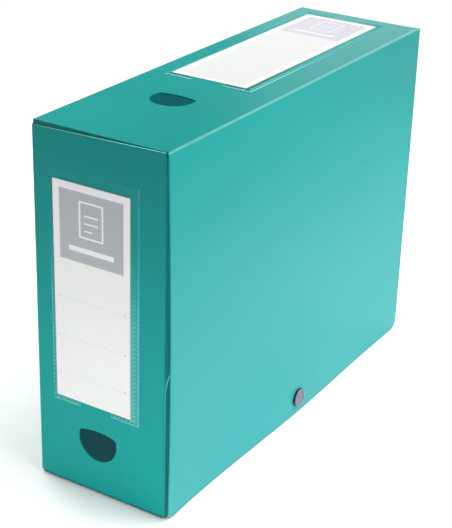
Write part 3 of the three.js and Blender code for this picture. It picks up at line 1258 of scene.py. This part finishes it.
    def print_card(self, finish: CardFinish) -> bpy.types.Material:
        """The card's print: a grey block with a plain sheet sign, and ruled lines below it.

        Args:
            finish: the card's colours.

        Returns:
            The material.
        """
        lay = self.layout
        low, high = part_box(f"{self.wall.value}_label_card")
        graph = Graph(f"{self.wall.value}_card_print")
        x, y, z = graph.place()
        along = z if self.wall is Wall.FRONT else y
        near, far = (low.z, high.z) if self.wall is Wall.FRONT else (low.y, high.y)
        left, right = low.x + lay.block_left, low.x + lay.block_right
        foot, head = far - lay.block_foot, far - lay.block_top
        in_block_width = x.within(left, right, lay.blur)
        up = along - foot
        sign = self.sheet_sign(x - (left + right) / 2, up)
        rules = self.ruled_lines(x, up, left - lay.rule_out_left, right + lay.rule_out_right)
        fibre = graph.noise(finish.fibre_scale, 4.0)
        lighter = tuple(channel * finish.fibre_lift for channel in finish.paper)
        middle_part = in_block_width * along.within(near + lay.near_margin, head, lay.blur)
        paper = graph.blend(middle_part, finish.margin, graph.blend(fibre, finish.paper, lighter))
        ruled = graph.blend(rules, paper, finish.rule)
        block = in_block_width * along.within(foot, head, lay.blur)
        return graph.surface(
            Base_Color=graph.blend(block, ruled, graph.blend(sign, finish.block, finish.sign)),
            Roughness=finish.roughness + (fibre - 0.5) * finish.fibre_gloss,
            Normal=graph.relief(fibre, finish.fibre_relief, finish.fibre_depth),
        )

    def build(self) -> list[bpy.types.Object]:
        """Builds film and welds, dresses the card, and hangs them on the box.

        Returns:
            The pieces and the card.
        """
        name = self.wall.value
        film = self.sheet_of_film()
        dress(film, FilmFinish().material(f"{name}_film_clear"))
        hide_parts(f"{name}_label_pocket")
        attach(film, "box")
        welded = self.weld_finish.material(f"{name}_weld_mint")
        strips = self.welds()
        for strip in strips:
            dress(strip, welded)
            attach(strip, "box")
        card = bpy.data.objects[f"{name}_label_card"]
        dress(card, self.print_card(self.card_finish))
        return [film, *strips, card]


@dataclass
class PressStud:
    """The press stud: a domed cap on the lid, its socket behind, and the ball and back disc on the flap."""

    cap_finish: StudFinish = StudFinish(face=(0.175, 0.145, 0.20), roughness=0.36, metallic=0.35)
    dark_finish: StudFinish = StudFinish(face=(0.035, 0.037, 0.042))
    post_radius: float = 1.7 * MM
    thick: float = 1.9 * MM
    chamfer: float = 0.3 * MM
    lip: float = 0.45 * MM
    inner_lip: float = 0.35 * MM
    inner_lip_at: float = 1.35 * MM
    dish_at: float = 2.1 * MM
    dish_middle: float = 0.3 * MM
    dish_deep: float = 0.32 * MM
    dish_crown: float = 0.14 * MM
    face_skin: float = 0.3 * MM

    def cap(self) -> bpy.types.Object:
        """The cap: a turned button whose face dips inside a rounded lip, with its post through the lid.

        The dipped face rises towards its middle with the square of the radius.

        Returns:
            The cap.
        """
        low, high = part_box("stud_cap")
        centre = ((low.y + high.y) / 2, (low.z + high.z) / 2)
        radius = (high.z - low.z) / 2
        face, post_end = high.x, low.x
        under = face - self.thick
        edge = arc(self.lip, (radius - self.lip, face - self.lip), 0, 90, 8)
        inner = arc(self.inner_lip, (radius - self.inner_lip_at, face - self.inner_lip), 90, 150, 5)
        face_radius = np.linspace(radius - self.dish_at, self.dish_middle, 8)
        dish = face - self.dish_deep + self.dish_crown * (1 - (face_radius / radius) ** 2)
        post = [[0, post_end], [self.post_radius, post_end], [self.post_radius, under]]
        foot = [[radius - self.chamfer, under], [radius, under + self.chamfer]]
        dished = np.stack([face_radius, dish], -1)
        profile = np.concatenate([post, foot, edge, inner, dished, [[0, dish[-1]]]])
        return turned("stud_cap_button", profile, centre)

    def build(self) -> list[bpy.types.Object]:
        """Builds the cap and dresses the stud's other parts.

        Returns:
            The four parts.
        """
        cap = self.cap()
        face_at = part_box("stud_cap")[1].x - self.face_skin
        dress(cap, self.cap_finish.material("stud_cap_satin", face_at))
        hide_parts("stud_cap")
        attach(cap, "lid")
        dark = self.dark_finish.material("stud_dark_satin", 0.0)
        others = [dress(bpy.data.objects[node], dark)
                  for node in ("stud_socket", "stud_ball", "stud_back")]
        return [cap, *others]


# Studio


@dataclass(frozen=True)
class Lamp:
    """A soft rectangular light aimed at a point, with its spread in degrees."""

    name: str
    place: Place
    aim: Place
    size: tuple[float, float]
    watts: float
    spread: float

    def build(self) -> bpy.types.Object:
        """Adds the light, hidden from the camera.

        Returns:
            The light.
        """
        data = bpy.data.lights.new(self.name, "AREA")
        data.shape = "RECTANGLE"
        data.size, data.size_y = self.size
        data.energy = self.watts
        data.spread = math.radians(self.spread)
        lamp = bpy.data.objects.new(self.name, data)
        lamp.location = self.place
        lamp.rotation_euler = (Vector(self.aim) - Vector(self.place)).to_track_quat("-Z", "Y").to_euler()
        lamp.visible_camera = False
        bpy.context.scene.collection.objects.link(lamp)
        return lamp


LAMPS = (
    Lamp("lamp_back", (-0.52, 1.36, 0.52), (0, 0.15, 0.25), size=(0.5, 0.25), watts=0.8, spread=180),
    Lamp("lamp_low", (0.25, -0.7, 0.1), (0.02, -0.165, -0.02), size=(0.3, 0.15), watts=0.19, spread=60),
    Lamp("lamp_foot", (0.40, 0.15, 0.22), (0.17, 0.10, 0), size=(0.3, 0.3), watts=0.28, spread=140),
    Lamp("lamp_fill", (-0.9, 0.25, 0.9), (-0.33, 0, 0), size=(0.9, 0.7), watts=1.8, spread=60),
)


@dataclass
class Studio:
    """Pale floor, soft light and the camera at the photograph's angle."""

    azimuth: float = 31.632
    elevation: float = 24.897
    roll: float = 1.708
    distance: float = 1021.73 * MM
    aside: float = -9.68 * MM
    above: float = -18.151 * MM
    target_height: float = 125 * MM
    focal_pixels: float = 1441.47
    frame_height: float = 528.0
    sensor: float = 36.0
    world_strength: float = 0.21
    table_glow: float = 0.12
    sky_strength: float = 3.15
    sky_spread: float = 70.0
    sky_from: Place = (0.60, 0.32, 0.75)
    floor_radius: float = 9.0
    floor_drop: float = 0.05 * MM
    floor_sides: int = 120
    floor_grey: float = 0.955
    floor_white: float = 0.975
    floor_clouds: float = 3.0
    floor_roughness: float = 0.6
    floor_gloss: float = 0.1

    def camera(self) -> bpy.types.Object:
        """The camera, turned about the box's middle by azimuth, elevation and roll.

        Returns:
            The scene's camera.
        """
        a, e, r = (math.radians(v) for v in (self.azimuth, self.elevation, self.roll))
        back = Vector((math.sin(a) * math.cos(e), -math.cos(a) * math.cos(e), math.sin(e)))
        level = Vector((math.cos(a), math.sin(a), 0))
        upright = back.cross(level)
        right = math.cos(r) * level + math.sin(r) * upright
        up = math.cos(r) * upright - math.sin(r) * level
        target = Vector((0, 0, self.target_height))
        data = bpy.data.cameras.new("camera")
        data.lens = self.focal_pixels / self.frame_height * self.sensor
        data.sensor_width = self.sensor
        data.clip_start, data.clip_end = 0.05, 60.0
        camera = bpy.data.objects.new("camera", data)
        turn = Matrix((right, up, back)).transposed().to_4x4()
        place = target + back * self.distance + right * self.aside + up * self.above
        camera.matrix_world = Matrix.Translation(place) @ turn
        bpy.context.scene.collection.objects.link(camera)
        bpy.context.scene.camera = camera
        return camera

    def floor(self) -> bpy.types.Object:
        """A wide pale disc just under the part, lit a little from below as a light table is.

        Returns:
            The floor, which is no part of the object.
        """
        ring = arc(self.floor_radius, (0, 0), 0, 360 - 360 / self.floor_sides, self.floor_sides)
        places = np.concatenate([ring, np.full((len(ring), 1), -self.floor_drop)], 1)
        made = new_piece("studio_floor", places, [list(range(len(ring)))], smooth=False)
        graph = Graph("studio_floor_pale")
        cloud = graph.noise(self.floor_clouds)
        made.data.materials.append(graph.surface(
            Base_Color=graph.blend(cloud, (self.floor_grey,) * 3, (self.floor_white,) * 3),
            Roughness=self.floor_roughness + cloud * self.floor_gloss,
            Emission_Color=(1, 1, 1),
            Emission_Strength=self.table_glow,
        ))
        return made

    def world(self) -> None:
        """An even white surround."""
        world = bpy.data.worlds.new("studio")
        world.use_nodes = True
        background = world.node_tree.nodes["Background"]
        background.inputs["Color"].default_value = (1, 1, 1, 1)
        background.inputs["Strength"].default_value = self.world_strength
        bpy.context.scene.world = world

    def build(self) -> None:
        """Sets up camera, floor, world and lamps."""
        self.camera()
        self.floor()
        self.world()
        for lamp in LAMPS:
            lamp.build()
        sky = bpy.data.lights.new("sky", "SUN")
        sky.energy, sky.angle = self.sky_strength, math.radians(self.sky_spread)
        soft = bpy.data.objects.new("sky", sky)
        soft.rotation_euler = Vector(self.sky_from).to_track_quat("Z", "Y").to_euler()
        bpy.context.scene.collection.objects.link(soft)
        bpy.context.scene.view_settings.view_transform = "Standard"


def main() -> None:
    """Loads the frame, builds the sub-assemblies in order and reports each piece."""
    logging.basicConfig(level=logging.INFO, format="%(message)s")
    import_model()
    Studio().build()
    front_fading = Fading(start=135 * MM, length=60 * MM, loss=0.7)
    top_fading = Fading(start=-10 * MM, length=80 * MM, loss=0.6)
    # The top card's block is paler than the front card's, a painted glare of the film over it.
    top_card_with_painted_glare = CardFinish(paper=(0.77, 0.78, 0.765), margin=(0.92, 0.91, 0.93), block=(0.66, 0.63, 0.69))
    top_look = {"card_finish": top_card_with_painted_glare, "weld_finish": WeldFinish(light=(0.34, 0.92, 0.84))}
    top_marks = {"line_wide": 0.5 * MM, "hatch": 0.0, "second_line": 0.9, "pit_depth": 0.15, "shade": 0.8}
    assemblies = [
        BoxSheet(),
        LidPanel(),
        LabelPocket(Wall.FRONT, -36.9 * MM, 61.9 * MM, 161 * MM, front_fading),
        LabelPocket(Wall.TOP, -36.9 * MM, -43 * MM, 195 * MM, top_fading, **top_look, **top_marks),
        PressStud(),
    ]
    for assembly in assemblies:
        for piece in assembly.build():
            LOG.info("%s: %s with %d faces", type(assembly).__name__, piece.name, len(piece.data.polygons))


if __name__ == "__main__":
    main()
